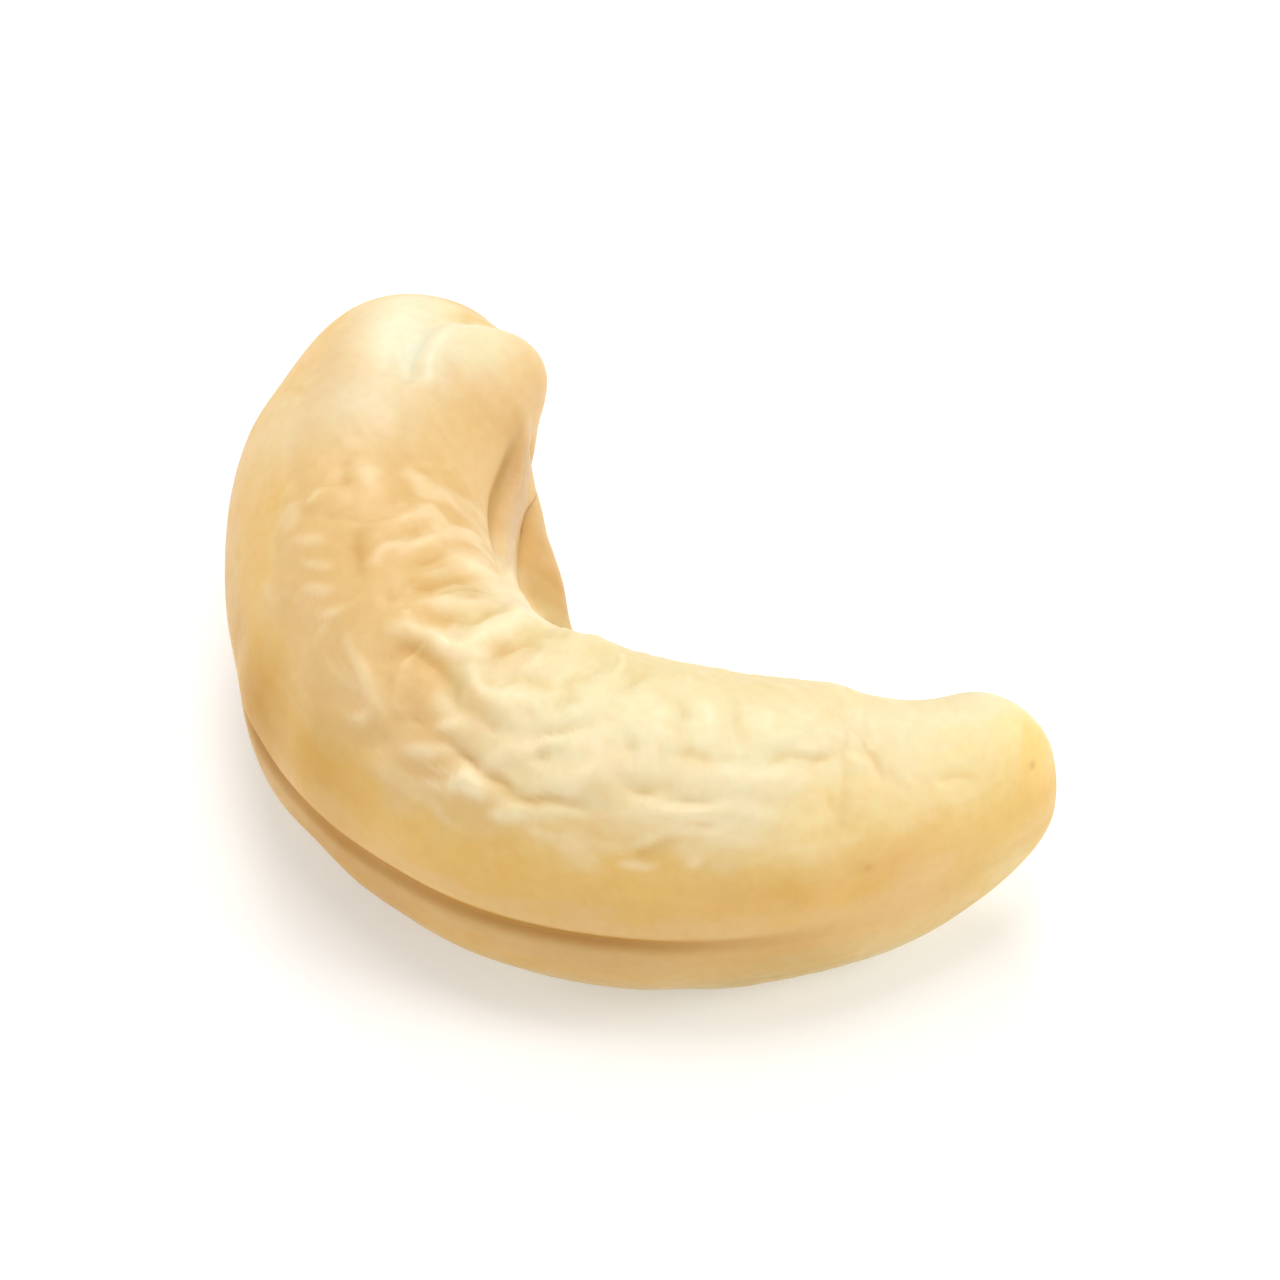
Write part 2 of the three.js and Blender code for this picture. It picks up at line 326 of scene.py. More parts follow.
# The wrinkles' span, by arc length from the blunt tip and from the slim tip.
WRINKLE_SPAN = {"blunt": (3, 8), "slim": (2, 8)}
PATCH_EDGE = (-0.45, 0.35)
DAB_EDGE = (0.3, 0.7)
DAB_PATCH_EDGE = (-0.2, 0.4)
DAB_START = (8, 11)
# The border of the faces along the belt, by angle from the seam and by arc lengths. It has
# streaks, and less of the wrinkles.
BORDER = {"angle": (math.radians(50), math.radians(80)), "blunt": (13, 18), "slim": (6, 10)}
BORDER_SOFTER = 0.7
# The fan is softer where the camera sees it, since the single wrinkles are there.
FAN_SEEN = {"softer": 0.4, "edge": (0.1, 0.5)}
# Dabs and streaks are also paler than what lies round them, by these shares.
DAB_PALENESS = 0.5
STREAK_PALENESS = 0.4
STREAK_EDGE = (0.1, 0.6)

# Mesh density
STEPS_ALONG = 372
STEPS_ROUND = 264
TIP_CROWDING = 0.3
SEAM_CROWDING = 0.4

# The camera looks down at 45 degrees, across the bend, from so far off that it sees the kernel
# nearly without perspective. Lens and sensor are in millimetres, the rest is in metres, also the
# distances between which things are drawn.
VIEW_RISE = math.radians(45)
CAMERA = {"lens": 500, "sensor": 36, "aim": (0.00064, 0.00295, 0.00507), "seen_width": 0.0394}
CLIP = (0.01, 10)

# The studio's round lights: name, place in metres and power in watts.
LIGHTS = (
    ("top", (0, 0, 0.5), 0.68),
    ("back", (-0.227, 0.227, 0.383), 0.78),
    ("left", (-0.332, -0.332, 0.171), 0.42),
    ("right", (0.355, 0.205, 0.287), 0.75),
)
LIGHT_SIZE = 0.25
LIGHT_AIM = (0, 0, 0.005)
WHITE = (1, 1, 1, 1)
SKY = {"Color": WHITE, "Strength": 0.45}
# The floor is pale and glows a little, so that it shows as white.
FLOOR_HALF = 1.5
FLOOR_FINISH = {
    "Base Color": (0.78, 0.78, 0.77, 1),
    "Roughness": 0.8,
    "Emission Color": WHITE,
    "Emission Strength": 0.32,
}


def smooth(value, edge):
    low, high = edge
    share = np.clip((value - low) / (high - low), 0, 1)
    return share * share * (3 - 2 * share)


def bell(distance, spread):
    return np.exp(-((distance / spread) ** 2))


def unit(vectors):
    return vectors / np.maximum(np.linalg.norm(vectors, axis=-1, keepdims=True), 1e-9)


def away_from(points, centre):
    return np.linalg.norm(points - centre, axis=-1)


def between(values, t):
    """A uniform cubic B-spline through the sections' values, with t from 0 to 1."""
    before = 2 * values[0] - values[1]
    after = 2 * values[-1] - values[-2]
    padded = np.concatenate([[before], values, [after]])
    last = len(values) - 1
    place = np.clip(t, 0, 1) * last
    first = np.minimum(place.astype(int), last - 1)
    u = place - first
    return (
        (1 - u) ** 3 * padded[first]
        + (3 * u**3 - 6 * u**2 + 4) * padded[first + 1]
        + (-3 * u**3 + 3 * u**2 + 3 * u + 1) * padded[first + 2]
        + u**3 * padded[first + 3]
    ) / 6


class MiddleLine:
    """The kernel's bent middle line, read by arc length from the blunt tip."""

    SAMPLES = 4001
    NUDGE = 1e-4

    def __init__(self):
        self.t = np.linspace(0, 1, self.SAMPLES)
        across = np.diff(between(SECTIONS[:, 0], self.t))
        away = np.diff(between(SECTIONS[:, 1], self.t))
        self.arc = np.concatenate([[0], np.cumsum(np.hypot(across, away))])
        self.length = self.arc[-1]

    def at(self, along):
        """The section's values at a length, and the line's direction there."""
        t = np.interp(along, self.arc, self.t)
        section = {key: between(SECTIONS[:, index], t) for index, key in enumerate(SECTION_KEYS)}
        ahead = [
            between(SECTIONS[:, axis], np.clip(t + self.NUDGE, 0, 1))
            - between(SECTIONS[:, axis], np.clip(t - self.NUDGE, 0, 1))
            for axis in (0, 1)
        ]
        size = np.hypot(*ahead)
        return section, ahead[0] / size, ahead[1] / size


def cap_growth(distance, cap):
    """How far the sections have grown from a tip, as a share of their full size."""
    left = np.clip(1 - distance / cap, 0, 1)
    return (1 - left**CAP_POWER) ** (1 / CAP_POWER)


def seam_left(side, along):
    """How much of the seam's groove is left, which fades towards the tips."""
    left = 1 - (1 - SEAM_LEFT[side]) * smooth(along, SEAM_FADE)
    return left * smooth(along, INNER_SEAM_START) if side == "inner" else left


def seam_depth(side, height, along):
    """How deep the seam lies at a height above or below it."""
    left = seam_left(side, along)
    pinch = PINCH[side] * bell(height, PINCH["spread"])
    sharpness = np.abs(height) / GROOVE["spread"]
    groove = GROOVE[side] * (np.exp(-(sharpness**2)) if side == "outer" else np.exp(-sharpness))
    return pinch * (PINCH_LEFT + (1 - PINCH_LEFT) * left) + groove * left


def step_depth(from_slim_tip):
    rise = smooth(-from_slim_tip, STEP["start"])
    return STEP["depth"] * rise * smooth(from_slim_tip, STEP["end"])


def nub_height(points):
    """The nub's lift less the crease's depth at points of the surface."""
    lift = NUB["lift"] * bell(away_from(points, NUB["centre"]), NUB["spread"])
    offset = points - CREASE["centre"]
    far_side = smooth(unit(offset[..., :2]) @ CREASE_SIDE, CREASE_EDGE)
    off_crease = np.linalg.norm(offset, axis=-1) - CREASE["radius"]
    return lift - CREASE["depth"] * bell(off_crease, CREASE["spread"]) * far_side


def solid_form(middle, along, angle):
    """The solid's surface at lengths along the middle line and angles round the section.
    The angle is 0 on the outside of the bend and a quarter turn on top."""
    section, ahead_x, ahead_y = middle.at(along)
    cos, sin = np.cos(angle), np.sin(angle)
    blunt_growth = cap_growth(along, BLUNT_CAP)
    growth = blunt_growth * cap_growth(middle.length - along, SLIM_CAP)
    height = np.where(sin > 0, section["top"] - SEAM_HEIGHT, section["low"] + SEAM_HEIGHT) * sin
    seam_reach = smooth(np.abs(cos), SEAM_REACH)
    upper = 0.5 + 0.5 * np.tanh(sin / HALVES_BLEND)
    reach = section["inner_low"] + (section["inner_top"] - section["inner_low"]) * upper
    outer = section["outer"] * np.abs(cos) - seam_depth("outer", height, along) * seam_reach
    inner = -reach * np.abs(cos) ** INNER_ROUNDING + seam_depth("inner", height, along) * seam_reach
    inner = inner + step_depth(middle.length - along) * np.abs(cos)
    width = np.where(cos > 0, outer, inner)

    level = np.zeros_like(along)
    outward = np.stack([ahead_y, -ahead_x, level], -1)
    ahead = np.stack([ahead_x, ahead_y, level], -1)
    up = np.array([0.0, 0.0, 1.0])
    points = np.stack([section["x"], section["y"], level + SEAM_HEIGHT], -1)
    points += outward * (width * growth)[..., None] + up * (height * growth)[..., None]

    facing = outward * cos[..., None] + up * sin[..., None]
    facing = unit(facing * blunt_growth[..., None] + ahead * (blunt_growth - 1)[..., None])
    points += facing * nub_height(points)[..., None]
    points[..., 2] = np.maximum(points[..., 2], REST_HEIGHT)
    return points


def crowded(share, crowding, waves):
    """Shares of a full turn or length, crowded where the shape turns fast."""
    return share - crowding * np.sin(2 * np.pi * waves * share) / (2 * np.pi * waves)


def surface_grid(middle):
    """Lengths and angles of the surface's points, one row for each step along."""
    along = middle.length * crowded(np.linspace(0, 1, STEPS_ALONG + 1), TIP_CROWDING, 1)
    angle = 2 * np.pi * crowded(np.arange(STEPS_ROUND) / STEPS_ROUND, SEAM_CROWDING, 2)
    return np.meshgrid(along, angle, indexing="ij")


def grid_normals(points):
    """Outward normals of a grid whose columns close round the kernel."""
    down = np.gradient(points, axis=0)
    wrapped = np.concatenate([points[:, -1:], points, points[:, :1]], axis=1)
    round_it = (wrapped[:, 2:] - wrapped[:, :-2]) / 2
    normals = np.cross(down, round_it)
    normals[0] = normals[1].mean(axis=0)
    normals[-1] = normals[-2].mean(axis=0)
    return unit(normals)


def eased(share):
    """A share with no slope and no bend at 0 and at 1."""
    return share**3 * (share * (share * 6 - 15) + 10)


def noise(name, along, turn):
    """Gradient noise over the surface, about -1 to 1, which closes after a full turn."""
    seed, length, columns = NOISES[name]
    angles = np.random.default_rng(seed).uniform(0, 2 * np.pi, (NOISE_ROWS, columns))
    row, column = along / length, turn * columns
    row_0, column_0 = np.floor(row).astype(int), np.floor(column).astype(int)
    row_u, column_u = row - row_0, column - column_0

    def corner(i, j):
        angle = angles[(row_0 + i) % NOISE_ROWS, (column_0 + j) % columns]
        return np.cos(angle) * (row_u - i) + np.sin(angle) * (column_u - j)

    row_share, column_share = eased(row_u), eased(column_u)
    near = corner(0, 0) * (1 - column_share) + corner(0, 1) * column_share
    far = corner(1, 0) * (1 - column_share) + corner(1, 1) * column_share
    return NOISE_GAIN * (near * (1 - row_share) + far * row_share)


def camera_direction():
    """From the kernel to the camera, in the seam's frame."""
    return np.array([0.0, -math.cos(VIEW_RISE), math.sin(VIEW_RISE)])


def seen_places(points):
    """Where points show in the picture's plane, in millimetres right and up."""
    up = points[..., 1] * math.sin(VIEW_RISE) + points[..., 2] * math.cos(VIEW_RISE)
    return np.stack([points[..., 0], up], -1)


def stroke(seen, path, spread, power=2.0):
    """1 along a path in the picture's plane, falling off over spread and towards its ends."""
    path = np.array(path, float)
    lengths = np.linalg.norm(np.diff(path, axis=0), axis=-1)
    starts = np.concatenate([[0], np.cumsum(lengths)])
    nearest = np.full(seen.shape[:-1], np.inf)
    progress = np.zeros_like(nearest)
    for index, length in enumerate(lengths):
        run = (path[index + 1] - path[index]) / length
        reached = np.clip((seen - path[index]) @ run, 0, length)
        away = np.linalg.norm(seen - path[index] - reached[..., None] * run, axis=-1)
        closer = away < nearest
        nearest = np.where(closer, away, nearest)
        progress = np.where(closer, (starts[index] + reached) / starts[-1], progress)
    taper = PATH_END + (1 - PATH_END) * np.sin(np.pi * progress)
    return np.exp(-((nearest / spread) ** power)) * taper


def placed_wrinkles(grid):
    """The single ridges and valleys of the side that the camera sees, and their pale crests."""
    exact = seen_places(grid.solid)
    wobble = [noise(name, grid.along, grid.turn) for name in ("path_right", "path_up")]
    seen = exact + PATH_WOBBLE * np.stack(wobble, -1)
    least, more = CREST_PALENESS
    height = np.zeros_like(grid.along)
    crests = np.zeros_like(grid.along)
    for lift, spread, path in RIDGES:
        mark = stroke(seen, path, RIDGE["width"] * spread, RIDGE["power"])
        height += RIDGE["strength"] * lift * mark
        crests = np.maximum(crests, (least + more * lift) * smooth(mark, CREST_EDGE))
    for depth, spread, path in VALLEYS:
        mark = stroke(seen, path, VALLEY["width"] * spread, VALLEY["power"])
        height -= VALLEY["strength"] * depth * mark
    for share, spread, path in DABS:
        crests = np.maximum(crests, share * smooth(stroke(seen, path, spread), CREST_EDGE))
    height *= 1 - ARM_SOFTER["by"] * smooth(exact[..., 1], ARM_SOFTER["up"])
    height -= NUB_FOLD["depth"] * stroke(exact, NUB_FOLD["path"], NUB_FOLD["spread"])
    height += NUB_RIM["lift"] * stroke(exact, NUB_RIM["path"], NUB_RIM["spread"])
    shown = smooth(grid.facing_camera, SEEN_EDGE)
    return height * shown, crests * shown


def flap_shares(grid):
    """How far each place is on the inner wall's flap, and how far in the groove over it."""
    span = smooth(grid.along, FLAP_SPAN["start"]) * (1 - smooth(grid.along, FLAP_SPAN["end"]))
    span = span * smooth(-grid.cos, FLAP_SPAN["inside"])
    raised = 1 - smooth(grid.along, FLAP_SPAN["lowering"])
    over = grid.solid_above - (FLAP["at"] + (FLAP["start_at"] - FLAP["at"]) * raised)
    fall = smooth(over, (FLAP["above"] - FLAP["edge"], FLAP["above"] + FLAP["edge"]))
    flap = smooth(over, FLAP_BELOW) * (1 - fall) * span
    return flap, bell(over - FLAP_GROOVE["over"], FLAP_GROOVE["spread"]) * span


def flap_height(grid):
    height = FLAP["lift"] * grid.flap - FLAP_GROOVE["depth"] * grid.flap_groove
    return height * smooth(grid.along, FLAP_GROWTH)


def tuck_depth(grid):
    span = smooth(grid.along, TUCK["start"]) * (1 - smooth(grid.along, TUCK["end"]))
    outside = smooth(grid.cos, TUCK["outside"])
    return TUCK["depth"] * span * outside * smooth(-grid.solid_above, TUCK["below"])


def pit_distance(grid):
    centre = solid_form(grid.middle, np.array([PIT["along"]]), np.array([PIT["angle"]]))[0]
    return away_from(grid.solid, centre)


def pit_height(grid):
    lift = ROOT_TIP["lift"] * bell(grid.off_pit, ROOT_TIP["radius"])
    return lift - PIT["depth"] * bell(grid.off_pit, PIT["radius"])


def angle_from_seam(grid):
    """The angle up or down from the outer seam, carried on round both tips."""
    middle = grid.middle
    kept = np.clip(grid.along, TIP_CENTRES[0], middle.length - TIP_CENTRES[1])
    section, ahead_x, ahead_y = middle.at(kept)
    across, away = grid.right - section["x"], grid.away - section["y"]
    outward = across * ahead_y - away * ahead_x
    past_tip = across * ahead_x + away * ahead_y
    past_tip = np.where(past_tip > 0, past_tip, -BLUNT_TIP_BELT * past_tip)
    near_tip = 1 - smooth(np.minimum(grid.along, grid.to_slim_tip), TIP_SOFTENED)
    above = np.hypot(grid.solid_above, TIP_SOFTENING * near_tip)
    return np.arctan2(above, outward + past_tip)


def beyond_belt(grid):
    """The angle from the outer belt's edge, above 0 on the faces and below 0 on the belt."""
    change = smooth(grid.along, BELT_EDGE["change"])
    edge = BELT_EDGE["near_blunt"] * (1 - change) + BELT_EDGE["beyond"] * change
    return grid.from_seam - edge - BELT_RISE["by"] * smooth(grid.along, BELT_RISE["start"])


def rounded(waves):
    """Waves with their sharp lows rounded, about -0.2 to 0.7."""
    return np.sqrt(waves**2 + ROUNDING) - ROUNDED_DROP


def formula_wrinkles(grid):
    """Heights of the wrinkles by formula, and the shares of their pale marks."""
    along, turn = grid.along, grid.turn
    sway = SWAY * noise("sway", along, turn)
    lean = LEAN * noise("lean", along, turn)
    patches = smooth(noise("patches", along, turn), PATCH_EDGE)
    fan = rounded(noise("fan", along + sway, turn + lean))
    small = rounded(noise("small", along + SWAY_SHARES["small"] * sway, turn + lean))
    dabs = smooth(noise("dabs", along + SWAY_SHARES["dabs"] * sway, turn + lean), DAB_EDGE)
    dabs = dabs * smooth(noise("dab_patches", along, turn), DAB_PATCH_EDGE)
    dabs = dabs * smooth(along, DAB_START)
    swell = noise("swell", along, turn)
    streaks = noise("streaks", along, turn + STREAK_LEAN * lean)

    off_wall = 1 - smooth(-grid.cos, WALL_EDGE)
    span = smooth(along, WRINKLE_SPAN["blunt"]) * smooth(grid.to_slim_tip, WRINKLE_SPAN["slim"])
    wrinkled = grid.faces * off_wall * span
    border = grid.faces * (1 - smooth(grid.from_seam, BORDER["angle"]))
    border = border * smooth(along, BORDER["blunt"])
    streaked = border * smooth(grid.to_slim_tip, BORDER["slim"])
    seen = smooth(grid.facing_camera, FAN_SEEN["edge"])
    softened = (1 - FAN_SEEN["softer"] * seen) * (1 - BORDER_SOFTER * border)

    height = (HEIGHTS["fan"] * fan + HEIGHTS["small"] * small) * patches * wrinkled * softened
    height += HEIGHTS["dabs"] * dabs * wrinkled * (1 - border)
    height += HEIGHTS["streaks"] * streaks * streaked * span
    swelling = SWELL_LEFT + (1 - SWELL_LEFT) * grid.faces * off_wall
    height += HEIGHTS["swell"] * swell * span * swelling
    marks = DAB_PALENESS * dabs * wrinkled * (1 - streaked)
    return height, marks + STREAK_PALENESS * smooth(streaks, STREAK_EDGE) * streaked


def fine_relief(grid):
    """Heights over the solid's form, in millimetres, and the shares of the pale crests."""
    height, marks = formula_wrinkles(grid)
    wrinkles, crests = placed_wrinkles(grid)
    height += wrinkles + flap_height(grid) + pit_height(grid) - tuck_depth(grid)
    for centre, spread, lift in TRIMS:
        height += lift * bell(away_from(grid.solid, centre), spread)
    off_floor = smooth(grid.height - REST_HEIGHT, REST_FADE)
    return np.where(height > 0, height * off_floor, height), np.maximum(crests, marks)


def kernel_surface():
    """The kernel's surface as a grid of points, with all that its colours go by."""
    middle = MiddleLine()
    along, angle = surface_grid(middle)
    grid = SimpleNamespace(middle=middle, along=along, to_slim_tip=middle.length - along)
    grid.turn = angle / (2 * np.pi)
    grid.cos = np.cos(angle)
    grid.solid = solid_form(middle, along, angle)
    grid.right, grid.away, grid.height = np.moveaxis(grid.solid, -1, 0)
    grid.solid_above = grid.height - SEAM_HEIGHT
    grid.normals = grid_normals(grid.solid)
    grid.facing_camera = grid.normals @ camera_direction()
    grid.from_seam = angle_from_seam(grid)
    grid.beyond_belt = beyond_belt(grid)
    grid.faces = smooth(grid.beyond_belt, FACE_EDGE)
    grid.flap, grid.flap_groove = flap_shares(grid)
    grid.off_pit = pit_distance(grid)
    grid.relief, grid.crests = fine_relief(grid)
    grid.points = grid.solid + grid.normals * grid.relief[..., None]
    grid.points[..., 2] = np.maximum(grid.points[..., 2], REST_HEIGHT)
    grid.above = grid.points[..., 2] - SEAM_HEIGHT
    return grid


def turned(points):
    """Points of the seam's frame turned so that the longest extent lies along x."""
    cos, sin = math.cos(TURN), math.sin(TURN)
    x, y, z = np.moveaxis(points, -1, 0)
    return np.stack([x * cos - y * sin, x * sin + y * cos, z], -1)


def placed(grid):
    """The surface's points in metres, set where the solid's box is."""
    low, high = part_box("cashew_kernel")
    solid = turned(grid.solid).reshape(-1, 3)
    solid_low, solid_high = solid.min(axis=0), solid.max(axis=0)
    shift = np.array((low + high) / 2) - MM * (solid_low + solid_high) / 2
    shift[2] = low.z - MM * solid_low[2]
    return turned(grid.points) * MM + shift


def closed_mesh(name, points):
    """One closed mesh from a grid whose first and last rows are the tips."""
    rows, columns = points.shape[0] - 1, points.shape[1]
    ring = points[1:-1].reshape(-1, 3)
    vertices = np.concatenate([points[:1, 0], ring, points[-1:, 0]])
    column = np.arange(columns)
    following = (column + 1) % columns

    def vertices_of(row, places):
        if row == 0:
            return np.zeros_like(places)
        if row == rows:
            return np.full_like(places, len(vertices) - 1)
        return 1 + (row - 1) * columns + places

    faces = []
    corners = []
    for row in range(rows):
        a, b = vertices_of(row, column), vertices_of(row, following)
        c, d = vertices_of(row + 1, following), vertices_of(row + 1, column)
        sides = list(zip(column / columns, (column + 1) / columns))
        top, bottom = row / rows, (row + 1) / rows
        if row == 0:
            faces += np.stack([a, d, c], -1).tolist()
            corners += [[((l + r) / 2, top), (l, bottom), (r, bottom)] for l, r in sides]
        elif row == rows - 1:
            faces += np.stack([b, a, c], -1).tolist()
            corners += [[(r, top), (l, top), ((l + r) / 2, bottom)] for l, r in sides]
        else:
            faces += np.stack([b, a, d, c], -1).tolist()
            corners += [[(r, top), (l, top), (l, bottom), (r, bottom)] for l, r in sides]
    mesh = bpy.data.meshes.new(name)
    mesh.from_pydata(vertices.tolist(), [], faces)
    mesh.polygons.foreach_set("use_smooth", [True] * len(faces))
    flat = np.array([place for face in corners for place in face], np.float32)
    mesh.uv_layers.new(name="OFBake").uv.foreach_set("vector", flat.ravel())
    return mesh


def add_mask(mesh, name, values):
    """A grid's values as an attribute, in the order of the closed mesh's vertices."""
    layer = mesh.attributes.new(name, "FLOAT", "POINT")
    ordered = np.concatenate([values[:1, 0], values[1:-1].ravel(), values[-1:, 0]])
    layer.data.foreach_set("value", ordered.astype(np.float32))


# Colours across the kernel, from the seam (0) over the belt's edge (0.5) to the inner edge (1).
# Towards the inner edge they turn yellower and darker, the darkening being painted shade.
ACROSS = (
    (0.00, (230, 190, 122)),
    (0.16, (231, 190, 118)),
    (0.26, (232, 188, 101)),
    (0.42, (235, 192, 104)),
    (0.50, (235, 198, 118)),
    (0.55, (239, 209, 145)),
    (0.60, (245, 223, 172)),
    (0.72, (240, 228, 186)),
    (0.84, (238, 226, 180)),
    (1.00, (232, 214, 158)),
)

# The colours laid over these one after another, and which of them multiply.
LAYERS = {
    # golden, and on the blunt arm partly painted shade
    "golden_and_shaded_face": (225, 187, 124),
    # toasted spots, and low down partly painted shade
    "toast_and_shade": (204, 151, 44),
    "lower_pale": (224, 208, 156),
    "rim": (196, 190, 158),
    # painted light on the slim arm's belt and the slim tip
    "belt_painted_light": (255, 230, 158),
    # the slim tip's gold, partly painted light
    "end_face_gold_and_light": (254, 214, 128),
    # painted shade on the inner wall's flap and in the groove over it
    "flap": (202, 166, 124),
    "flap_groove": (208, 170, 112),
    "rosy_drift": (240, 204, 152),
    # painted shade on the lower half
    "lower": (238, 234, 228),
    # painted highlight on the blunt tip, with fainter pale spots
    "painted_highlight": (240, 240, 216),
    # pale crests, partly painted highlight
    "crest": (252, 232, 190),
    # painted shade in the valleys
    "valley": (236, 220, 174),
    "mottle": (246, 234, 214),
    # painted shade in the seam's groove
    "seam": (194, 136, 36),
    "pit": (126, 66, 30),
    "speck": (184, 120, 56),
}
MULTIPLIED = ("lower", "valley", "mottle")
# Two of them and the roughness go by noises in space: waves in each metre, detail, the span of
# the noise that counts, and the least and the most that it gives.
DRIFTS = {
    "rosy_drift": (330, 2, (0.35, 0.7), (0.0, 0.22)),
    "mottle": (2600, 3, (0.3, 0.75), (0.0, 0.3)),
}
ROUGHNESS = (1400, 3, (0.3, 0.7), (0.42, 0.56))
# Satin flesh that lets a little light through, with a fine grain.
FINISH = {
    "Subsurface Weight": 0.3,
    "Subsurface Radius": (1.0, 0.55, 0.22),
    "Subsurface Scale": 0.0014,
    "Specular IOR Level": 0.5,
}
GRAIN = (3200, 4)
BUMP = {"Strength": 0.2, "Distance": 0.00005}

# Where the colours lie, mostly as shares and pairs. along and end are by arc length from the
# blunt tip, right and away by x and y, height by z, above and below by height from the seam, and
# outside by facing outwards.

# The colours run over these angles from the belt's edge, to the inner edge and to the seam. The
# edge wanders by these noises, in radians.
FACE_ANGLE = 1.4
BELT_ANGLE = math.radians(37)
BELT_WOBBLE = {"belt_broad": 0.14, "belt_middle": 0.10, "belt_fine": 0.08}
# Nothing wanders at the tips, where the noises would meet in one point.
OFF_TIPS = (0.5, 4)
# The faces are golden where they aren't cream, and so is the blunt arm's belt, though less. On the
# blunt arm this gold is partly painted shade.
GOLDEN = {"share": 0.85, "edge": (-0.15, 0.25)}
ARM_BELT = {"share": 0.45, "end": (13, 17), "height": (-0.6, 0.6)}
# The faces turn cream from the bend on, along an edge that wanders by these noises in millimetres.
CREAM = {"least": 0.05, "along": (9, 14), "right": (0.5, 3.0)}
CREAM_WOBBLE = {"cream_broad": 1.4, "cream_fine": 1.0}
# The blunt cap is cream too, less so inside the bend and on the nub's side.
CREAM_CAP = {"share": 0.9, "end": (2.5, 5.5), "height": (1.2, 2.8)}
CAP_INSIDE = {"less": 0.7, "edge": (0.35, 0.65)}
CAP_NUB = {"less": 0.8, "right": (1.6, 2.6)}
# A painted highlight on top of the blunt tip, with its spreads across, away and up.
PAINTED_HIGHLIGHT = {"share": 0.85, "centre": (-0.8, 12.6, 4.4), "spreads": (1.3, 2.0, 3.0)}
# Fainter pale spots laid in with it, the first two painted highlights on the blunt arm: centre,
# spread and share.
PALE_SPOTS = (
    ((-4.6, 9.3, 3.7), 1.7, 0.25),
    ((-2.2, 9.6, 4.7), 2.0, 0.38),
    ((3.4, 1.6, 3.2), 1.2, 0.45),
    ((9.4, -7.1, 3.6), 1.3, 0.3),
    ((17.8, -4.8, -1.5), 1.3, 0.36),
    ((16.3, -5.6, -2.3), 1.1, 0.32),
)
# Toasted spots, likewise.
TOAST_SPOTS = (
    ((-5.4, -0.2, 0.7), 2.3, 1.0),
    ((-3.6, -3.3, 1.4), 2.2, 0.6),
    ((-2.1, 2.3, 5.0), 1.6, 0.25),
    ((0.8, 5.3, 3.9), 2.1, 0.32),
    ((2.2, -4.5, 4.6), 1.8, 0.15),
    ((10.8, -7.8, 1.7), 1.5, 0.34),
    ((9.2, -8.5, 1.7), 1.1, 0.28),
    ((13.3, -7.2, 1.4), 1.5, 0.22),
    ((3.6, 11.4, 1.4), 1.8, 0.38),
    ((1.3, 0.8, 4.2), 1.0, 0.3),
    ((2.2, -5.1, 4.0), 1.2, 0.15),
    ((5.6, -6.6, 3.4), 1.3, 0.16),
    ((0.8, 0.7, 4.9), 0.9, 0.26),
    ((0.1, -3.1, 4.6), 0.9, 0.18),
    ((18.9, -2.6, 2.2), 1.2, 0.14),
)
# Fainter toasted patches low down, partly painted shade of the lower side, except on the outside of
# the slim arm.
TOAST_AND_SHADE_PATCHES = {"share": 0.3, "edge": (0.3, 0.8), "top": (-1.0, 1.5)}
TOAST_AND_SHADE_END = {"along": (20, 26), "outside": (-0.2, 0.3)}
# Small dark specks, likewise.
SPECKS = (
    ((18.3, -3.6, 2.0), 0.13, 0.5),
    ((13.3, -7.3, 1.3), 0.14, 0.3),
)
# The slim tip's end face is more golden, and lighter as painted light. right and up are in the
# picture's plane.
END_FACE_GOLD_AND_LIGHT = {"share": 0.75, "right": (17.85, 18.05), "up": (-3.2, -1.2), "seen": (0.1, 0.5)}
# Crests of ridges are pale, partly their own colour and partly painted highlight, by how high they
# stand and by how they are marked, less so on gold, except on the blunt arm. Valleys are darker by
# their depth, as painted shade.
CREST = {"share": 0.3, "relief": (0.04, 0.2), "marked": 0.95, "most": 0.9, "less_on_gold": 0.5}
OFF_ARM = {"right": (-1.5, 1.5), "away": (0.5, 3.0)}
VALLEY_SHADE = {"share": 0.7, "relief": (0.02, 0.2)}
# The inner wall's flap and the groove over it are darkened as painted shade.
FLAP_SHADE_SHARE = 0.85
FLAP_GROOVE_SHADE_SHARE = 0.75
# The belt is lighter, as painted light, along the slim arm's upper side and at the slim tip, but not
# on its face.
LIT_BELT = {"share": 0.55, "right": (7.5, 12), "above": (1.8, 3.2)}
LIT_TIP = {"share": 0.6, "right": (14.0, 17.6), "above": (-3.0, -1.0)}
LIT_END = (0.62, 0.8)
# The lower half is darker, as painted shade, up to where the outer seam fades, paler along the
# middle of the slim arm, and greyer along its rim.
LOWER_SHADE = {"below": (0.0, 0.3), "less": 0.8}
LOWER_PALER = {"share": 0.5, "below": (0.4, 1.4), "right": (5, 10), "right_end": (14.0, 16.5)}
RIM = {"share": 0.45, "below": (1.2, 3.2), "outside": (0.0, 0.4), "along": (3, 7)}
RIM_LESS = {"by": 0.5, "right": (7, 11)}
# The seam's brown, painted shade in its groove, weaker inside the bend, and the pit's, which leaves
# the root tip pale.
SEAM_SHADE = {"share": 0.9, "above": 0.04, "spread": 0.28, "inside": 0.45}
PIT_SHADE = {"spread": 0.42, "root_tip": 0.22, "less": 0.9}


def linear(red, green, blue):
    """An sRGB colour, 0 to 255, as the linear numbers that a shader takes."""
    channels = []
    for value in (red, green, blue):
        share = value / 255
        channels.append(share / 12.92 if share <= 0.04045 else ((share + 0.055) / 1.055) ** 2.4)
    return (*channels, 1.0)


def set_inputs(node, values):
    for name, value in values.items():
        node.inputs[name].default_value = value


